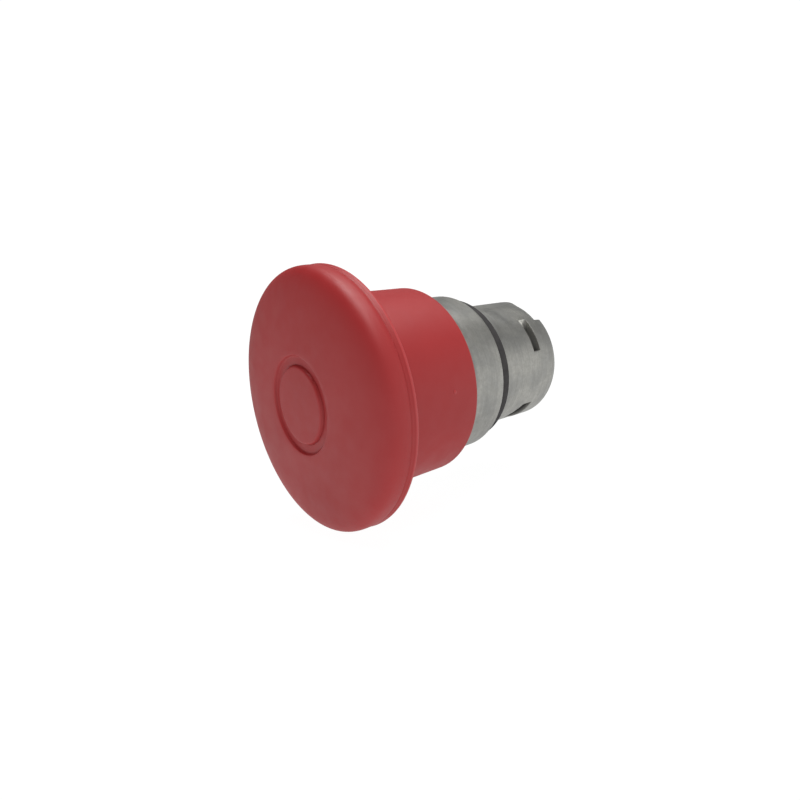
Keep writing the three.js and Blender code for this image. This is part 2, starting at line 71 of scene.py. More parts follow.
def outer_radius(node):
    """Half the width of a round CAD node."""
    low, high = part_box(node)
    return (high.x - low.x) / 2 / MM


CAP_RADIUS = outer_radius("mushroom_cap")
SKIRT_RADIUS = outer_radius("skirt")
BEZEL_RADIUS = outer_radius("body_casting")
GASKET_RADIUS = outer_radius("panel_gasket")
LIP_REAR, FACE_AHEAD = ahead_span("mushroom_cap")
SKIRT_REAR, CAP_SEAT = ahead_span("skirt")
RIM_AHEAD, BEZEL_FRONT = ahead_span("body_casting")
GASKET_THICKNESS = ahead_span("panel_gasket")[1]
PUSHER_REAR, PUSHER_FRONT = ahead_span("rear_pusher")
PLATE_REAR, PLATE_FRONT = ahead_span("rear_guide_plate")
PLUG_REAR = ahead_span("centre_plug")[0]
PLUG_RADIUS = outer_radius("centre_plug")

TUBE_RADIUS = 11.0
BORE_RADIUS = 9.2


# ---------------------------------------------------------------- mesh helpers


def arc_angles(sides):
    """Evenly spaced angles for a full turn."""
    return [360.0 * side / sides for side in range(sides)]


def refined(values, edges, offsets):
    """values with extra entries round each edge, sorted and without near copies."""
    extra = [edge + offset for edge in edges for offset in offsets]
    kept = []
    for value in sorted(list(values) + extra):
        if not kept or value - kept[-1] > 1e-4:
            kept.append(value)
    return kept


def spread(start, end, step):
    """Values from start to end, both included, about one step apart."""
    count = max(1, round(abs(end - start) / step))
    return [start + (end - start) * i / count for i in range(count + 1)]


def rounded(corners, steps=4):
    """An outline whose corners, each (radius, ahead, fillet), are rounded by their fillets.
    The outline closes on itself unless it starts and ends on the axis."""
    on_axis = corners[0][0] == 0 and corners[-1][0] == 0
    count = len(corners)
    outline = []
    for i, (radius, ahead, fillet) in enumerate(corners):
        here = Vector((radius, ahead))
        if fillet == 0 or (on_axis and i in (0, count - 1)):
            outline.append((radius, ahead))
            continue
        before = Vector(corners[i - 1][:2]) - here
        after = Vector(corners[(i + 1) % count][:2]) - here
        reach = min(fillet, before.length * 0.45, after.length * 0.45)
        start = here + before.normalized() * reach
        end = here + after.normalized() * reach
        for step in range(steps + 1):
            share = step / steps
            point = start.lerp(here, share).lerp(here.lerp(end, share), share)
            outline.append((point.x, point.y))
    return outline


def place(radius, ahead, angle):
    """The point in the row frame, in metres."""
    turn = math.radians(angle)
    return Vector((radius * math.sin(turn), PANEL_Y - ahead, radius * math.cos(turn))) * MM


def unplace(point):
    """The radius, ahead and angle of a point in the row frame."""
    radius = math.hypot(point.x, point.z) / MM
    return radius, PANEL_Y - point.y / MM, math.degrees(math.atan2(point.x, point.z)) % 360


def make_piece(name, points, faces, body, node, slot):
    """A smooth-shaded mesh that stands for a CAD node and rides on a body."""
    mesh = bpy.data.meshes.new(name)
    mesh.from_pydata([tuple(point) for point in points], [], faces)
    mesh.validate()
    mesh.update()
    mesh.polygons.foreach_set("use_smooth", [True] * len(mesh.polygons))
    piece = bpy.data.objects.new(name, mesh)
    bpy.context.scene.collection.objects.link(piece)
    weigh = piece.modifiers.new("weigh_normals", "WEIGHTED_NORMAL")
    weigh.keep_sharp = True
    mesh.materials.append(MATERIALS[slot])
    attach(piece, body)
    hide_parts(node)
    return piece


def paint(piece, layer_name, points, amount):
    """Stores amount(radius, ahead, angle) at every point, for the piece's material to use."""
    layer = piece.data.attributes.new(layer_name, "FLOAT", "POINT")
    layer.data.foreach_set("value", [amount(*unplace(point)) for point in points])


def turned_points(outline, angles, shape=None):
    """Points and faces of an outline turned round the axis. shape(radius, ahead, angle)
    gives the radius and ahead of a point that departs from the plain turned form."""
    poles = outline[0][0] == 0 and outline[-1][0] == 0
    ring = outline[1:-1] if poles else outline
    rows = len(ring)
    points = []
    for angle in angles:
        for radius, ahead in ring:
            if shape:
                radius, ahead = shape(radius, ahead, angle)
            points.append(place(radius, ahead, angle))
    faces = []
    columns = len(angles)
    links = rows - 1 if poles else rows
    for column in range(columns):
        this, following = column * rows, ((column + 1) % columns) * rows
        for row in range(links):
            up = (row + 1) % rows
            faces.append((this + row, following + row, following + up, this + up))
    if poles:
        first, last = len(points), len(points) + 1
        points.append(place(0, outline[0][1], 0))
        points.append(place(0, outline[-1][1], 0))
        for column in range(columns):
            this, following = column * rows, ((column + 1) % columns) * rows
            faces.append((first, following, this))
            faces.append((last, this + rows - 1, following + rows - 1))
    if runs_forward_outside(outline):
        faces = [face[::-1] for face in faces]
    return points, faces


def runs_forward_outside(outline):
    """Whether an outline goes forward on its outer side, which turns its faces inside out."""
    area = 0.0
    closed = outline + outline[:1]
    for (r0, a0), (r1, a1) in zip(closed, closed[1:]):
        area += r0 * a1 - r1 * a0
    return area > 0


def step_between(value, low, high, soft, soft_high=None):
    """1 between low and high, 0 outside, with soft edges centred on low and high."""

    def ramp(distance, width):
        share = min(max(distance / width + 0.5, 0.0), 1.0)
        return share * share * (3 - 2 * share)

    return ramp(value - low, soft) * ramp(high - value, soft_high or soft)


# ---------------------------------------------------------------- materials


def linear(red, green, blue):
    """A colour given as 0 to 255 sRGB, as linear RGBA."""

    def channel(value):
        share = value / 255
        return share / 12.92 if share <= 0.04045 else ((share + 0.055) / 1.055) ** 2.4

    return (channel(red), channel(green), channel(blue), 1.0)


class Shader:
    """A node material being built, with short calls for what every finish here needs."""

    def __init__(self, name):
        self.material = bpy.data.materials.new(name)
        self.material.use_nodes = True
        self.tree = self.material.node_tree
        self.surface = self.tree.nodes["Principled BSDF"]
        self.coords = self.add("ShaderNodeTexCoord").outputs["Object"]

    def add(self, kind):
        """A new node of the material's tree."""
        return self.tree.nodes.new(kind)

    def link(self, source, target):
        """Feeds an output into an input."""
        self.tree.links.new(source, target)

    def stretched(self, scale):
        """Object coordinates scaled by a vector."""
        mapping = self.add("ShaderNodeMapping")
        mapping.inputs["Scale"].default_value = scale
        self.link(self.coords, mapping.inputs["Vector"])
        return mapping.outputs["Vector"]

    def noise(self, size_mm, detail=3.0, vector=None, roughness=0.5):
        """Noise whose grain is about size_mm across."""
        node = self.add("ShaderNodeTexNoise")
        node.inputs["Scale"].default_value = 1 / (size_mm * MM)
        node.inputs["Detail"].default_value = detail
        node.inputs["Roughness"].default_value = roughness
        self.link(vector or self.coords, node.inputs["Vector"])
        return node.outputs["Fac"]

    def ranged(self, value, low, high, from_low=0.3, from_high=0.7):
        """value, taken from one range to the range low to high, and held at its ends."""
        node = self.add("ShaderNodeMapRange")
        node.inputs["From Min"].default_value = from_low
        node.inputs["From Max"].default_value = from_high
        node.inputs["To Min"].default_value = low
        node.inputs["To Max"].default_value = high
        self.link(value, node.inputs["Value"])
        return node.outputs["Result"]

    def mixed(self, factor, first, second):
        """The colour that goes from first to second with factor."""
        node = self.add("ShaderNodeMix")
        node.data_type = "RGBA"
        self.link(factor, node.inputs["Factor"])
        for name, source in (("A", first), ("B", second)):
            socket = [s for s in node.inputs if s.name == name and s.type == "RGBA"][0]
            if hasattr(source, "is_linked"):
                self.link(source, socket)
            else:
                socket.default_value = source
        return [s for s in node.outputs if s.type == "RGBA"][0]

    def painted(self, attribute):
        """The number that a piece's own mesh carries at each point."""
        node = self.add("ShaderNodeAttribute")
        node.attribute_name = attribute
        return node.outputs["Fac"]

    def blended(self, factor, first, second):
        """A number that goes from first, a number or a node's output, to second with factor."""
        node = self.add("ShaderNodeMix")
        self.link(factor, node.inputs[0])
        if hasattr(first, "is_linked"):
            self.link(first, node.inputs[2])
        else:
            node.inputs[2].default_value = first
        node.inputs[3].default_value = second
        return node.outputs[0]

    def multiplied(self, first, second):
        """The product of two nodes' outputs."""
        node = self.add("ShaderNodeMath")
        node.operation = "MULTIPLY"
        self.link(first, node.inputs[0])
        self.link(second, node.inputs[1])
        return node.outputs[0]

    def crevices(self, reach_mm, low, high):
        """1 in narrow inside corners and 0 on open surfaces; it masks painted shade."""
        node = self.add("ShaderNodeAmbientOcclusion")
        node.samples = 8
        node.inputs["Distance"].default_value = reach_mm * MM
        return self.ranged(node.outputs["AO"], 1, 0, low, high)

    def bump(self, heights):
        """Chains bumps, given as (height, strength, depth in mm)."""
        normal = None
        for height, strength, depth in heights:
            node = self.add("ShaderNodeBump")
            node.inputs["Strength"].default_value = strength
            node.inputs["Distance"].default_value = depth * MM
            self.link(height, node.inputs["Height"])
            if normal:
                self.link(normal, node.inputs["Normal"])
            normal = node.outputs["Normal"]
        self.link(normal, self.surface.inputs["Normal"])

    def set(self, **values):
        """Sets the surface's inputs, each to a plain value or to a node's output."""
        for name, value in values.items():
            socket = self.surface.inputs[name.replace("_", " ")]
            if hasattr(value, "is_linked"):
                self.link(value, socket)
            else:
                socket.default_value = value


PAINTED_HIGHLIGHT = "painted_highlight"  # painted highlight: paler colour on the cap's lip, the skirt's gate mark and the lock ramps' start
POCKET_SHADE = "pocket_shade"  # painted shade: a dull dark fill in the bayonet pockets


def moulded_plastic(name, colour, darker, roughness, pale_highlight=None):
    """Satin moulded plastic: slow colour drift, painted shade in crevices, orange peel, fine grain
    and, with a pale highlight colour, a painted highlight where the mesh carries one."""
    shader = Shader(name)
    drift = shader.ranged(shader.noise(14, 2), 0, 1)
    tone = shader.mixed(drift, colour, darker)
    if pale_highlight:
        # Painted highlight: the colour turns paler where the mesh carries one.
        tone = shader.mixed(shader.painted(PAINTED_HIGHLIGHT), tone, pale_highlight)
    # Painted shade: crevices darken towards this colour, where shade falls.
    painted_shade = tuple(channel * 0.65 for channel in darker[:3]) + (1.0,)
    shader.set(
        Base_Color=shader.mixed(shader.crevices(1.0, 0.45, 0.9), tone, painted_shade),
        Roughness=shader.ranged(shader.noise(2.5, 4), roughness - 0.05, roughness + 0.05),
        Specular_IOR_Level=0.6,
    )
    shader.bump([(shader.noise(1.6, 2), 0.1, 0.04), (shader.noise(0.1, 2), 0.15, 0.01)])
    return shader.material


def drawn_metal(name, colour, darker, roughness):
    """Plated or drawn metal: fine lines along the axis' turns and small stains."""
    shader = Shader(name)
    lines = shader.noise(1.0, 3, shader.stretched((0.6, 9.0, 0.6)))
    stains = shader.ranged(shader.noise(1.4, 4), 0, 1)
    shader.set(
        Base_Color=shader.mixed(stains, colour, darker),
        Metallic=1.0,
        Roughness=shader.ranged(lines, roughness - 0.06, roughness + 0.08),
    )
    shader.bump([(lines, 0.15, 0.01)])
    return shader.material


def red_plastic():
    """The head's red, with a paler painted highlight on the lip's bead and the gate mark."""
    colour, darker = linear(180, 38, 40), linear(174, 36, 38)
    return moulded_plastic("red_plastic", colour, darker, 0.52, pale_highlight=linear(194, 60, 62))


def cast_metal():
    """Turned die casting: turning lines, mottling, painted shade in crevices and pockets,
    and a painted highlight at the start of the lock ramps.
    """
    shader = Shader("cast_metal")
    lines = shader.noise(1.0, 3, shader.stretched((0.1, 2.6, 0.1)), 0.7)
    mottle = shader.noise(0.9, 5, roughness=0.65)
    drift = shader.ranged(shader.noise(4.5, 3), 0, 1, 0.38, 0.62)
    tone = shader.mixed(drift, linear(198, 197, 191), linear(174, 174, 171))
    tone = shader.mixed(shader.ranged(lines, 0, 0.35, 0.3, 0.7), tone, linear(143, 143, 141))
    tone = shader.mixed(shader.ranged(mottle, 0, 0.45), tone, linear(151, 150, 143))
    tone = shader.mixed(shader.ranged(shader.noise(0.3, 2), 0, 0.2), tone, linear(120, 120, 116))
    # Painted shade: inside corners darken to near black.
    tone = shader.mixed(shader.crevices(1.2, 0.1, 0.7), tone, linear(48, 46, 44))
    # Painted shade: the pockets darken and lose their metal shine, their deeper parts most.
    pocket_shade = shader.painted(POCKET_SHADE)
    tone = shader.mixed(pocket_shade, tone, linear(58, 56, 55))
    speckle = shader.ranged(shader.noise(0.8, 2), 0, 1, 0.38, 0.6)
    # Painted highlight: the lock ramps' start turns near white, broken up by speckle.
    pale_highlight = shader.multiplied(shader.painted(PAINTED_HIGHLIGHT), speckle)
    shader.set(
        Base_Color=shader.mixed(pale_highlight, tone, linear(228, 227, 218)),
        Metallic=shader.blended(pocket_shade, 1.0, 0.1),
        Roughness=shader.blended(pale_highlight, shader.ranged(lines, 0.36, 0.54), 0.25),
    )
    shader.bump([(lines, 0.3, 0.03), (mottle, 0.3, 0.04)])
    return shader.material


def black_rubber():
    """Dusty matt rubber."""
    shader = Shader("black_rubber")
    shader.set(
        Base_Color=shader.mixed(
            shader.ranged(shader.noise(3, 3), 0, 1), linear(62, 59, 59), linear(49, 46, 47)
        ),
        Roughness=shader.ranged(shader.noise(0.8, 4), 0.6, 0.8),
    )
    shader.bump([(shader.noise(0.25, 4), 0.3, 0.02)])
    return shader.material


MATERIALS = {
    "red_plastic": red_plastic(),
    "cast_metal": cast_metal(),
    "black_rubber": black_rubber(),
    "white_plastic": moulded_plastic(
        "white_plastic", linear(214, 211, 202), linear(204, 200, 190), 0.45
    ),
    "black_plastic": moulded_plastic(
        "black_plastic", linear(44, 44, 47), linear(36, 36, 39), 0.45
    ),
    "steel": drawn_metal("steel", linear(190, 191, 193), linear(168, 168, 170), 0.3),
    "spring_steel": drawn_metal("spring_steel", linear(160, 161, 164), linear(138, 139, 142), 0.28),
    "brass": drawn_metal("brass", linear(205, 172, 104), linear(188, 152, 86), 0.3),
}


def paint_cad_nodes():
    """Gives each CAD node the finish of its slot, and smooth shading between sharp edges."""
    for row in frame["record"]["subparts"]:
        node = frame["nodes"][row["node"]]
        node.data.polygons.foreach_set("use_smooth", [True] * len(node.data.polygons))
        node.data.set_sharp_from_angle(angle=math.radians(35))
        node.data.materials.clear()
        node.data.materials.append(MATERIALS[row["material_slot"]])


# ---------------------------------------------------------------- the head

GROOVE_OUTER = 7.45
GROOVE_DEPTH = 0.5
RIM_RADIUS = CAP_RADIUS - 0.12
ROUND = arc_angles(256)


def crown(power, height):
    """The cap's crown from the ring groove out to the rim, as a superellipse."""
    base = FACE_AHEAD - height
    first = math.asin(((GROOVE_OUTER + 0.2) / RIM_RADIUS) ** (power / 2))
    outline = []
    for angle in spread(first, math.pi / 2, 0.025):
        radius = RIM_RADIUS * math.sin(angle) ** (2 / power)
        rise = max(math.cos(angle), 0.0) ** (2 / power)
        outline.append((radius, base + height * rise))
    return outline


def cap_shell():
    """The cap, with the fine line its mould leaves behind the crown, and a beaded lip."""
    skirt_recess = SKIRT_RADIUS + 0.1
    groove_floor = FACE_AHEAD - GROOVE_DEPTH
    hollow_top = FACE_AHEAD - 2.3
    hollow_outer, hollow_inner = 13.2, 8.5
    screw_hole, screw_well = 2.3, 4.6
    well_floor, plug_seat = FACE_AHEAD - 3.5, FACE_AHEAD - 1.6
    plug_hole = PLUG_RADIUS + 0.005
    crown_outline = crown(power=4.2, height=4.3)
    base = crown_outline[-1][1]
    line_depth, line_width = 0.1, 0.34
    under = rounded(
        [
            (RIM_RADIUS, base, 0),
            (RIM_RADIUS - line_depth, base - line_width / 2, 0.15),
            (RIM_RADIUS, base - line_width, 0.12),
            (RIM_RADIUS + 0.02, LIP_REAR + 0.85, 0.15),
            (CAP_RADIUS, LIP_REAR + 0.6, 0.2),
            (CAP_RADIUS - 0.08, LIP_REAR + 0.2, 0.2),
            (CAP_RADIUS - 0.5, LIP_REAR, 0.2),
            (CAP_RADIUS - 1.0, LIP_REAR + 0.12, 0.15),
            (skirt_recess, LIP_REAR + 0.5, 0.2),
            (skirt_recess, CAP_SEAT, 0.1),
            (hollow_outer, CAP_SEAT, 0.1),
            (hollow_outer, hollow_top, 0.3),
            (hollow_inner, hollow_top, 0.3),
            (hollow_inner, CAP_SEAT, 0.1),
            (screw_hole, CAP_SEAT, 0.05),
            (screw_hole, well_floor, 0.05),
            (screw_well, well_floor, 0.1),
            (screw_well, plug_seat, 0.05),
            (plug_hole, plug_seat, 0.05),
            (plug_hole, groove_floor, 0.02),
            (GROOVE_OUTER - 0.25, groove_floor, 0.25),
            (GROOVE_OUTER, FACE_AHEAD - 0.06, 0.12),
            (GROOVE_OUTER + 0.2, crown_outline[0][1], 0),
        ],
        steps=6,
    )
    outline = crown_outline + under[1:-1]
    points, faces = turned_points(outline, ROUND)
    piece = make_piece("cap_shell", points, faces, "head", "mushroom_cap", "red_plastic")

    # Painted highlight: a paler band round the lip's bead.
    def lip_highlight(radius, ahead, angle):
        on_rim = radius > CAP_RADIUS - 0.3
        return step_between(ahead, LIP_REAR - 0.1, LIP_REAR + 0.65, 0.15) * on_rim

    paint(piece, PAINTED_HIGHLIGHT, points, lip_highlight)


def face_plug():
    """The disc that closes the screw well, hollow behind, inside the cap's ring groove."""
    collar_radius, hollow_radius = 4.5, 3.9
    hollow_front, seat = PLUG_REAR + 1.3, FACE_AHEAD - 1.6
    outline = rounded(
        [
            (0, hollow_front, 0),
            (hollow_radius, hollow_front, 0.1),
            (hollow_radius, PLUG_REAR, 0.1),
            (collar_radius, PLUG_REAR, 0.1),
            (collar_radius, seat, 0.1),
            (PLUG_RADIUS, seat, 0.1),
            (PLUG_RADIUS, FACE_AHEAD - GROOVE_DEPTH, 0.05),
            (PLUG_RADIUS - 0.25, FACE_AHEAD - 0.06, 0.15),
            (PLUG_RADIUS - 0.5, FACE_AHEAD, 0.2),
            (0, FACE_AHEAD, 0),
        ],
        steps=6,
    )
    points, faces = turned_points(outline, ROUND)
    make_piece("face_plug", points, faces, "head", "centre_plug", "red_plastic")


def skirt_sleeve():
    """The skirt, with the small gate mark that its mould leaves on the wall."""
    gate_angle, gate_ahead, gate_radius, gate_height = 94.7, 15.4, 0.35, 0.12
    inner = SKIRT_RADIUS - 1.6
    web_rear, web_bore = CAP_SEAT - 1.5, 4.1
    corners = rounded(
        [
            (web_bore, web_rear, 0.1),
            (inner, web_rear, 0.5),
            (inner, SKIRT_REAR, 0.3),
            (SKIRT_RADIUS, SKIRT_REAR, 0.45),
            (SKIRT_RADIUS, CAP_SEAT, 0.1),
            (web_bore, CAP_SEAT, 0.1),
        ],
        steps=6,
    )
    wall_start = SKIRT_REAR + 0.5
    wall_end = CAP_SEAT - 0.2
    around_gate = [i * 0.07 for i in range(-6, 7)]
    wall = [
        (SKIRT_RADIUS, ahead)
        for ahead in refined(spread(wall_start, wall_end, 1.0), [gate_ahead], around_gate)
    ]
    split = next(
        i for i, (radius, ahead) in enumerate(corners)
        if ahead > wall_start and radius > SKIRT_RADIUS - 0.01
    )
    outline = corners[:split] + wall + corners[split:]
    angles = refined(ROUND, [gate_angle], [i * 0.25 for i in range(-7, 8)])

    def gate(radius, ahead, angle):
        """1 in the middle of the gate mark, 0 outside it."""
        across = math.radians(angle - gate_angle) * SKIRT_RADIUS
        distance = math.hypot(across, ahead - gate_ahead) / gate_radius
        return max(0.0, 1 - distance * distance) if radius > SKIRT_RADIUS - 0.01 else 0.0

    def shape(radius, ahead, angle):
        return radius + gate_height * gate(radius, ahead, angle), ahead

    points, faces = turned_points(outline, angles, shape)
    piece = make_piece("skirt_sleeve", points, faces, "head", "skirt", "red_plastic")
    # The gate mark is painted paler: a painted highlight on its nub.
    paint(piece, PAINTED_HIGHLIGHT, points, gate)


# ---------------------------------------------------------------- the housing

# A pocket's front edge slants from front[0] to front[1] over its angles. Its floor ramps down
# to the full depth over RAMP_SHARE of them, and deep_end is 1 where the last angle is deep.
POCKET_DEPTH = 1.25
RAMP_SHARE = 0.25
LOCK_POCKET = {"angles": (49.0, 82.5), "front": (-9.15, -9.35), "rear": -10.95, "deep_end": 1}
ENTRY_POCKET = {"angles": (136.0, 172.0), "front": (-8.8, -3.5), "rear": -10.95, "deep_end": 0}
RIM_STEP = (20.0, 52.0)
RIM_STEP_SLOPE = 20.0
RIM_STEP_AHEAD = -13.6
RIM_ZONE = -12.3
KEY_HALF_ANGLE = 7.0
KEY_SPAN = (-1.6, -0.2)
KEY_HEIGHT = 0.5
RING_GROOVE_RADIUS = 9.7
CLIP_GROOVE = (-12.0, -11.2)
CARRIER_GROOVE = (-0.3, 0.5)
WEB = (7.5, 9.5)
WEB_BORE = 6.3
BEZEL_BORE = 9.0


def pocket_depth(pocket, ahead, angle):
    """How deep a bayonet pocket is at a point of the tube."""
    low, high = pocket["angles"]
    share = min(max((angle - low) / (high - low), 0.0), 1.0)
    front = pocket["front"][0] + (pocket["front"][1] - pocket["front"][0]) * share
    climbed = share if pocket["deep_end"] else 1 - share
    depth = min(climbed / RAMP_SHARE, 1.0)
    inside = step_between(ahead, pocket["rear"], front, 0.16, 0.3)
    return POCKET_DEPTH * depth * inside * step_between(angle, low, high, 0.8)


def casting_shape(radius, ahead, angle):
    """Pockets, rim steps and panel key, on top of the turned form. What is on one side of
    the tube is there again half a turn round, except the key."""
    half = angle % 180
    if ahead < RIM_ZONE:
        cut = step_between(half, *RIM_STEP, RIM_STEP_SLOPE, 0.8)
        shortened = (RIM_STEP_AHEAD - RIM_ZONE) / (RIM_AHEAD - RIM_ZONE)
        stepped = RIM_ZONE + (ahead - RIM_ZONE) * shortened
        ahead += (stepped - ahead) * cut
    if abs(radius - TUBE_RADIUS) < 0.01 and ahead < GASKET_THICKNESS:
        for pocket in (LOCK_POCKET, ENTRY_POCKET):
            radius -= pocket_depth(pocket, ahead, half)
        from_top = (angle + 180) % 360 - 180
        key = step_between(from_top, -KEY_HALF_ANGLE, KEY_HALF_ANGLE, 0.8)
        radius += KEY_HEIGHT * key * step_between(ahead, *KEY_SPAN, 0.16)
    return radius, ahead


def ring_groove(rear, front):
    """The corners of a snap ring's groove in the bore."""
    return [
        (BORE_RADIUS, rear, 0.05),
        (RING_GROOVE_RADIUS, rear, 0.05),
        (RING_GROOVE_RADIUS, front, 0.05),
        (BORE_RADIUS, front, 0.05),
    ]


def casting():
    """The bezel and the tube in one, with a web between their bores."""
    around_edge = [-0.1, -0.05, 0.0, 0.05, 0.1]
    pocket_front, pocket_rear = sum(LOCK_POCKET["front"]) / 2, LOCK_POCKET["rear"]
    edges = [*KEY_SPAN, pocket_front, pocket_rear + 0.2, pocket_rear, RIM_ZONE]
    tube_front, tube_rear = 1.9, RIM_AHEAD + 1.3
    tube = refined(spread(tube_front, tube_rear, 0.2), edges, around_edge)
    tube_rows = [(TUBE_RADIUS, ahead) for ahead in reversed(tube)]
    front = rounded(
        [
            (BEZEL_BORE, WEB[1], 0.1),
            (BEZEL_BORE, BEZEL_FRONT, 0.2),
            (BEZEL_RADIUS, BEZEL_FRONT, 0.3),
            (BEZEL_RADIUS, GASKET_THICKNESS, 0.3),
            (TUBE_RADIUS, GASKET_THICKNESS, 0.1),
            (TUBE_RADIUS, tube_front, 0),
        ]
    )[:-1]
    rear = rounded(
        [
            (TUBE_RADIUS, tube_rear, 0),
            (TUBE_RADIUS, RIM_AHEAD + 0.7, 0.3),
            (TUBE_RADIUS - 0.4, RIM_AHEAD, 0.25),
            (BORE_RADIUS, RIM_AHEAD, 0.2),
            (BORE_RADIUS, RIM_ZONE, 0),
            *ring_groove(*CLIP_GROOVE),
            *ring_groove(*CARRIER_GROOVE),
            (BORE_RADIUS, WEB[0], 0.2),
            (WEB_BORE, WEB[0], 0.1),
            (WEB_BORE, WEB[1], 0.1),
        ]
    )[1:]
    outline = front + tube_rows + rear
    angle_edges = [
        edge + turn
        for turn in (0, 180)
        for edge in (*LOCK_POCKET["angles"], *ENTRY_POCKET["angles"], *RIM_STEP)
    ]
    angle_edges += [KEY_HALF_ANGLE, 360 - KEY_HALF_ANGLE]
    around_wall = [-0.6, -0.4, -0.2, 0.0, 0.2, 0.4, 0.6]
    angles = refined(arc_angles(240), angle_edges, around_wall)
    points, faces = turned_points(outline, angles, casting_shape)
    piece = make_piece("casting", points, faces, "housing", "body_casting", "cast_metal")
    # Painted highlight at the start of the lock ramps.
    paint(piece, PAINTED_HIGHLIGHT, points, ramp_highlight)
    # Painted shade in the bayonet pockets.
    paint(piece, POCKET_SHADE, points, painted_pocket_shade)


def ramp_highlight(radius, ahead, angle):
    """1 at the start of a lock pocket's ramp, which gets a painted highlight."""
    start = LOCK_POCKET["angles"][0]
    along = step_between(angle % 180, start - 1, start + 6, 3)
    across = step_between(ahead, LOCK_POCKET["rear"] + 0.3, LOCK_POCKET["front"][0] + 0.25, 0.3)
    return along * across if radius > BORE_RADIUS + 0.4 else 0.0


def painted_pocket_shade(radius, ahead, angle):
    """How much painted shade a point has: the entry pockets are dark all over, walls and all,
    and the lock pockets' floors are less dark, darker the deeper they sink."""
    if not RIM_ZONE < ahead < 0 or radius < BORE_RADIUS + 0.4:
        return 0.0
    sunk = TUBE_RADIUS - radius
    if angle % 180 > ENTRY_POCKET["angles"][0] - 5:
        return min(max((sunk - 0.05) / 0.25, 0.0), 1.0)
    return 0.7 * min(max((sunk - 0.2) / (POCKET_DEPTH - 0.4), 0.0), 1.0)


def gasket():
    """The rubber ring, pressed a little barrel-shaped."""
    bulge = 0.06
    inner = TUBE_RADIUS + 0.05
    outline = rounded(
        [
            (inner, 0, 0.1),
            (GASKET_RADIUS - 0.05, 0, 0.3),
            (GASKET_RADIUS, GASKET_THICKNESS / 2, 0.8),
            (GASKET_RADIUS - bulge, GASKET_THICKNESS, 0.3),
            (inner, GASKET_THICKNESS, 0.1),
        ]
    )
    points, faces = turned_points(outline, ROUND)
    make_piece("gasket", points, faces, "housing", "panel_gasket", "black_rubber")


# ---------------------------------------------------------------- the back

PUSHER_FLAT = 5.2
SLEEVE_RADIUS = 5.9
FLANGE_REAR = -1.6
SLEEVE_BORE = 4.65
SLEEVE_FLOOR = -9.5
RING_MOUTH = 16.0


def flattened(radius, flat, angle):
    """The radius of a round that is cut off flat at both sides, across Z."""
    return min(radius, flat / max(abs(math.cos(math.radians(angle))), 1e-6))


def corner_angles(radius, flat):
    """The four angles where a round of this radius meets its flats."""
    corner = math.degrees(math.acos(flat / radius))
    return [corner, 180 - corner, 180 + corner, 360 - corner]


def pusher():
    """The plunger: a flanged sleeve with two flats and a dished, ringed end."""
    flange_radius = BORE_RADIUS - 0.1
    dish_radius, dish_floor = 3.6, PUSHER_REAR + 0.8
    ring_outer, ring_inner, ring_top = 1.3, 1.1, dish_floor - 0.15
    outline = rounded(
        [
            (0, SLEEVE_FLOOR, 0),
            (SLEEVE_BORE, SLEEVE_FLOOR, 0.3),
            (SLEEVE_BORE, PUSHER_FRONT, 0.15),
            (flange_radius, PUSHER_FRONT, 0.15),
            (flange_radius, FLANGE_REAR, 0.15),
            (SLEEVE_RADIUS, FLANGE_REAR, 0.2),
            (SLEEVE_RADIUS, PUSHER_REAR, 0.3),
            (dish_radius, PUSHER_REAR, 0.15),
            (dish_radius - 0.1, dish_floor, 0.2),
            (ring_outer, dish_floor, 0.1),
            (ring_outer, ring_top, 0.05),
            (ring_inner, ring_top, 0.05),
            (ring_inner, dish_floor, 0.1),
            (0, dish_floor, 0),
        ]
    )

    def shape(radius, ahead, angle):
        if SLEEVE_BORE + 0.01 < radius < SLEEVE_RADIUS + 0.01 and ahead < FLANGE_REAR:
            radius *= flattened(SLEEVE_RADIUS, PUSHER_FLAT, angle) / SLEEVE_RADIUS
        return radius, ahead

    corners = corner_angles(SLEEVE_RADIUS, PUSHER_FLAT)
    angles = refined(arc_angles(192), corners, [-0.5, 0, 0.5])
    points, faces = turned_points(outline, angles, shape)
    make_piece("plunger", points, faces, "pusher", "rear_pusher", "white_plastic")


def guide_plate():
    """The disc behind the return spring, with a flatted hole and two holes for a tool."""
    outer, hole_radius, hole_flat = BORE_RADIUS - 0.1, SLEEVE_RADIUS + 0.1, PUSHER_FLAT + 0.1
    pit_radius, pit_off, pit_depth = 0.6, 7.6, 0.9
    pit_rows = [pit_off - pit_radius, pit_off, pit_off + pit_radius]
    rear_rows = refined(
        spread(hole_radius + 0.3, outer - 0.4, 0.35), pit_rows, [-0.08, 0.0, 0.08]
    )
    outline = rounded(
        [
            (hole_radius, PLATE_REAR, 0.15),
            (hole_radius, PLATE_FRONT, 0.15),
            (outer, PLATE_FRONT, 0.2),
            (outer, PLATE_REAR, 0.2),
        ]
    )
    outline += [(radius, PLATE_REAR) for radius in reversed(rear_rows)]

    def shape(radius, ahead, angle):
        across = flattened(hole_radius, hole_flat, angle)
        share = (outer - radius) / (outer - hole_radius)
        radius -= max(share, 0) * (hole_radius - across)
        if ahead < PLATE_REAR + 0.01:
            turn = math.radians(angle)
            x, z = radius * math.sin(turn), radius * math.cos(turn)
            off = math.hypot(abs(x) - pit_off, z)
            ahead += pit_depth * step_between(off, -pit_radius, pit_radius, 0.14)
        return radius, ahead

    around_pit = [i * 0.5 for i in range(-14, 15)]
    angles = refined(arc_angles(160), [90, 270], around_pit)
    angles = refined(angles, corner_angles(hole_radius, hole_flat), [-0.5, 0, 0.5])
    points, faces = turned_points(outline, angles, shape)
    make_piece("guide_disc", points, faces, "housing", "rear_guide_plate", "black_plastic")


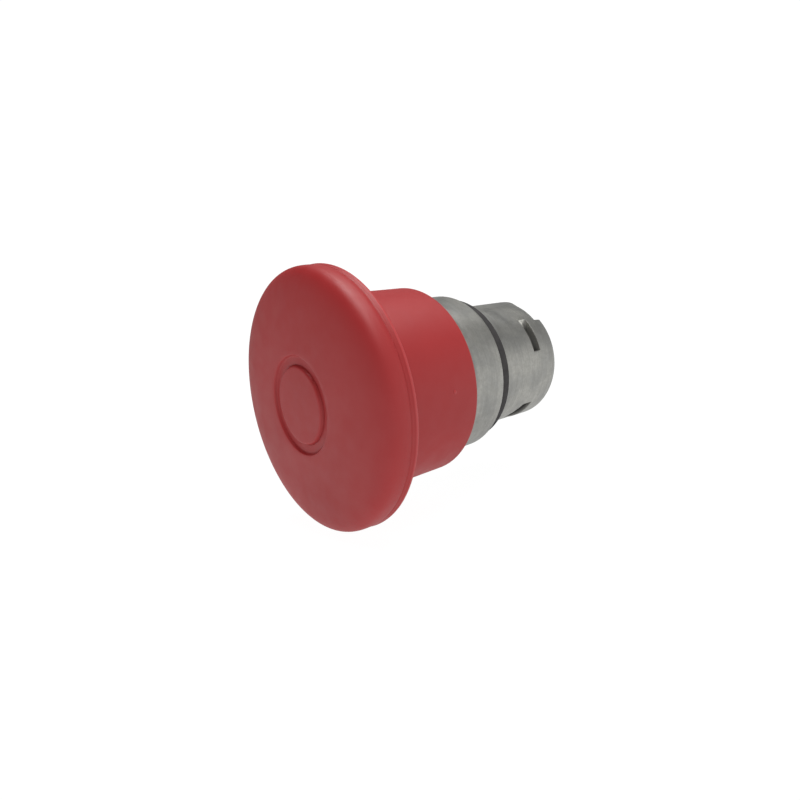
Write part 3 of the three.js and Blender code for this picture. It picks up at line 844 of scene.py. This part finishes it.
def swept(centres, section):
    """A closed skin over sections placed at centres. A centre is (point, across, along):
    the section's two coordinates run along those two directions."""
    points = []
    for point, across, along in centres:
        points += [point + across * u + along * v for u, v in section]
    count = len(section)
    faces = []
    for ring in range(len(centres) - 1):
        this, following = ring * count, (ring + 1) * count
        for side in range(count):
            up = (side + 1) % count
            faces.append((this + side, this + up, following + up, following + side))
    faces.append(tuple(range(count))[::-1])
    faces.append(tuple(range(len(points) - count, len(points))))
    return points, faces


def rounded_section(width, height, corner):
    """A rectangle's outline with rounded corners, about its middle."""
    return rounded(
        [
            (width / 2, -height / 2, corner),
            (width / 2, height / 2, corner),
            (-width / 2, height / 2, corner),
            (-width / 2, -height / 2, corner),
        ],
        steps=3,
    )


def snap_ring(name, node, mouth):
    """An open ring with rounded edges, with its mouth at an angle."""
    rear, front = ahead_span(node)
    outer = BORE_RADIUS + 0.4
    inner = BORE_RADIUS - 0.9
    middle, thickness = (outer + inner) / 2, front - rear
    centres = []
    for angle in spread(mouth + RING_MOUTH, mouth + 360 - RING_MOUTH, 2.0):
        turn = math.radians(angle)
        outward = Vector((math.sin(turn), 0, math.cos(turn)))
        point = place(middle, (front + rear) / 2, angle)
        centres.append((point, outward * MM, Vector((0, -1, 0)) * MM))
    section = rounded_section(outer - inner, thickness, 0.15)
    points, faces = swept(centres, section)
    make_piece(name, points, faces, "housing", node, "spring_steel")


def coil(name, node, body, radius, wire_radius, turns):
    """A coil spring with closed ends."""
    rear, front = ahead_span(node)
    flat_turns = 0.75
    flat_rise = flat_turns * 2 * wire_radius
    span = front - rear - 2 * wire_radius
    open_rise = span - 2 * flat_rise
    open_turns = turns - 2 * flat_turns
    steps_per_turn = 48
    centres = []
    for step in range(round(turns * steps_per_turn) + 1):
        turn = step / steps_per_turn
        closed_part = min(turn, flat_turns) + max(turn - flat_turns - open_turns, 0)
        opened = min(max((turn - flat_turns) / open_turns, 0), 1)
        fall = closed_part / flat_turns * flat_rise + opened * open_rise
        angle = turn * 360
        outward = Vector((math.sin(math.radians(angle)), 0, math.cos(math.radians(angle))))
        point = place(radius, front - wire_radius - fall, angle)
        centres.append((point, outward * MM, Vector((0, -1, 0)) * MM))
    sides = 14
    turns_round_wire = [2 * math.pi * side / sides for side in range(sides)]
    section = [(wire_radius * math.cos(t), wire_radius * math.sin(t)) for t in turns_round_wire]
    points, faces = swept(centres, section)
    spring = make_piece(name, points, faces, body, node, "spring_steel")
    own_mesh(spring)


def springs():
    """The return spring on the guide disc, and the drive spring inside the plunger."""
    coil(
        "return_coil", "return_spring", "housing", radius=7.4, wire_radius=0.4, turns=3.5,
    )
    coil(
        "drive_coil", "drive_spring", "pusher", radius=3.6, wire_radius=0.35, turns=5.5,
    )


# ---------------------------------------------------------------- stage, light, camera

# Strengths of light: what the camera sees of the floor and the world, and what the floor,
# near the object and far from it, and the world, level and straight up, cast on the object.
FLOOR_SEEN = 0.985
WORLD_SEEN = 1.05
FLOOR_NEAR = 0.66
FLOOR_FAR = 0.85
WALL_LIGHT = 0.74
CEILING_LIGHT = 0.0
FADE_SPAN = (60, 300)
BOUNCE_SPAN = (10, 45)
FLOOR_GAP = 0.4
FLOOR_GREY = (0.06, 0.06, 0.06, 1)
CAMERA_SPOT = Vector((72.7, -62.3, 8.54))
CAMERA_AIM = Vector((0.0, -5.0, -2.8))
CAMERA_ROLL = math.radians(-8.7)
CAMERA_LENS = 25.2
SENSOR_WIDTH = 36.0


def add_camera():
    """The camera at the photograph's viewing angle, close by and slightly rolled."""
    camera = bpy.data.objects.new("camera", bpy.data.cameras.new("camera"))
    bpy.context.scene.collection.objects.link(camera)
    camera.data.lens = CAMERA_LENS
    camera.data.sensor_width = SENSOR_WIDTH
    camera.data.clip_start = 0.001
    camera.data.clip_end = 20
    sight = CAMERA_AIM - CAMERA_SPOT
    level = sight.to_track_quat("-Z", "Y").to_matrix().to_4x4()
    roll = Matrix.Rotation(CAMERA_ROLL, 4, "Z")
    camera.matrix_world = Matrix.Translation(CAMERA_SPOT * MM) @ level @ roll
    bpy.context.scene.camera = camera


def add_floor():
    """A white table just under the cap's rim that fades into the background. From below it
    is clear, so the underside can be looked at."""
    size = 3.0
    height = -(CAP_RADIUS + FLOOR_GAP) * MM
    mesh = bpy.data.meshes.new("floor")
    corners = [(-size, -size), (size, -size), (size, size), (-size, size)]
    mesh.from_pydata([(x, y, height) for x, y in corners], [], [(0, 1, 2, 3)])
    floor = bpy.data.objects.new("floor", mesh)
    bpy.context.scene.collection.objects.link(floor)
    material = bpy.data.materials.new("floor")
    material.use_nodes = True
    tree = material.node_tree
    tree.nodes.remove(tree.nodes["Principled BSDF"])
    away = tree.nodes.new("ShaderNodeVectorMath")
    away.operation = "DISTANCE"
    away.inputs[1].default_value = (0, 0, height)
    place_on_floor = tree.nodes.new("ShaderNodeTexCoord")
    tree.links.new(place_on_floor.outputs["Object"], away.inputs[0])
    distance = away.outputs["Value"]
    seen = graded_emission(tree, distance, FADE_SPAN, (FLOOR_SEEN, WORLD_SEEN))
    # The floor's light on the object is dimmer close to it: a painted shadow under the object.
    cast = graded_emission(tree, distance, BOUNCE_SPAN, (FLOOR_NEAR, FLOOR_FAR))
    diffuse = tree.nodes.new("ShaderNodeBsdfDiffuse")
    diffuse.inputs["Color"].default_value = FLOOR_GREY
    lit = tree.nodes.new("ShaderNodeAddShader")
    tree.links.new(seen.outputs[0], lit.inputs[0])
    tree.links.new(diffuse.outputs[0], lit.inputs[1])
    shown = show_to_camera(tree, lit.outputs[0], cast.outputs[0])
    side = tree.nodes.new("ShaderNodeNewGeometry")
    clear = tree.nodes.new("ShaderNodeBsdfTransparent")
    from_below = tree.nodes.new("ShaderNodeMixShader")
    tree.links.new(side.outputs["Backfacing"], from_below.inputs["Fac"])
    tree.links.new(shown, from_below.inputs[1])
    tree.links.new(clear.outputs[0], from_below.inputs[2])
    tree.links.new(from_below.outputs[0], tree.nodes["Material Output"].inputs["Surface"])
    mesh.materials.append(material)


def graded_emission(tree, distance, span_mm, strengths):
    """Light whose strength goes from the first value to the second over a span of distances."""
    grade = tree.nodes.new("ShaderNodeMapRange")
    grade.interpolation_type = "SMOOTHSTEP"
    grade.inputs["From Min"].default_value = span_mm[0] * MM
    grade.inputs["From Max"].default_value = span_mm[1] * MM
    grade.inputs["To Min"].default_value = strengths[0]
    grade.inputs["To Max"].default_value = strengths[1]
    tree.links.new(distance, grade.inputs["Value"])
    node = tree.nodes.new("ShaderNodeEmission")
    tree.links.new(grade.outputs["Result"], node.inputs["Strength"])
    return node


def show_to_camera(tree, seen, cast):
    """A shader that is seen for camera rays, and cast for every other ray."""
    path = tree.nodes.new("ShaderNodeLightPath")
    mix = tree.nodes.new("ShaderNodeMixShader")
    tree.links.new(path.outputs["Is Camera Ray"], mix.inputs["Fac"])
    tree.links.new(cast, mix.inputs[1])
    tree.links.new(seen, mix.inputs[2])
    return mix.outputs[0]


def add_world():
    """White to the camera. What falls on things comes from the sides and below, and fades to
    nothing towards straight up.
    """
    world = bpy.data.worlds.new("surround")
    bpy.context.scene.world = world
    world.use_nodes = True
    tree = world.node_tree
    seen = tree.nodes["Background"]
    seen.inputs["Color"].default_value = (1, 1, 1, 1)
    seen.inputs["Strength"].default_value = WORLD_SEEN
    cast = tree.nodes.new("ShaderNodeBackground")
    direction = tree.nodes.new("ShaderNodeTexCoord").outputs["Generated"]
    height = tree.nodes.new("ShaderNodeSeparateXYZ")
    tree.links.new(direction, height.inputs[0])
    grade = tree.nodes.new("ShaderNodeMapRange")
    grade.interpolation_type = "SMOOTHSTEP"
    grade.inputs["From Min"].default_value = -0.1
    grade.inputs["From Max"].default_value = 0.9
    grade.inputs["To Min"].default_value = WALL_LIGHT
    grade.inputs["To Max"].default_value = CEILING_LIGHT
    tree.links.new(height.outputs["Z"], grade.inputs["Value"])
    tree.links.new(grade.outputs["Result"], cast.inputs["Strength"])
    shown = show_to_camera(tree, seen.outputs[0], cast.outputs[0])
    tree.links.new(shown, tree.nodes["World Output"].inputs["Surface"])


def add_light(name, spot, size, watts):
    """A soft square light that looks at the object's middle. spot and size are mm."""
    data = bpy.data.lights.new(name, "AREA")
    data.size = size * MM
    data.energy = watts
    light = bpy.data.objects.new(name, data)
    light.visible_camera = False
    bpy.context.scene.collection.objects.link(light)
    spot = Vector(spot) * MM
    towards_middle = (-spot).to_track_quat("-Z", "Y").to_matrix().to_4x4()
    light.matrix_world = Matrix.Translation(spot) @ towards_middle


cap_shell()
face_plug()
skirt_sleeve()
casting()
gasket()
pusher()
guide_plate()
snap_ring("rear_clip", "rear_snap_ring", mouth=180)
snap_ring("carrier_clip", "carrier_snap_ring", mouth=0)
springs()
paint_cad_nodes()
add_floor()
add_world()
add_light("ceiling", spot=(60, 40, 360), size=300, watts=1.37)
add_light("window", spot=(300, 240, 120), size=260, watts=0.06)
add_camera()
bpy.context.scene.view_settings.view_transform = "Standard"
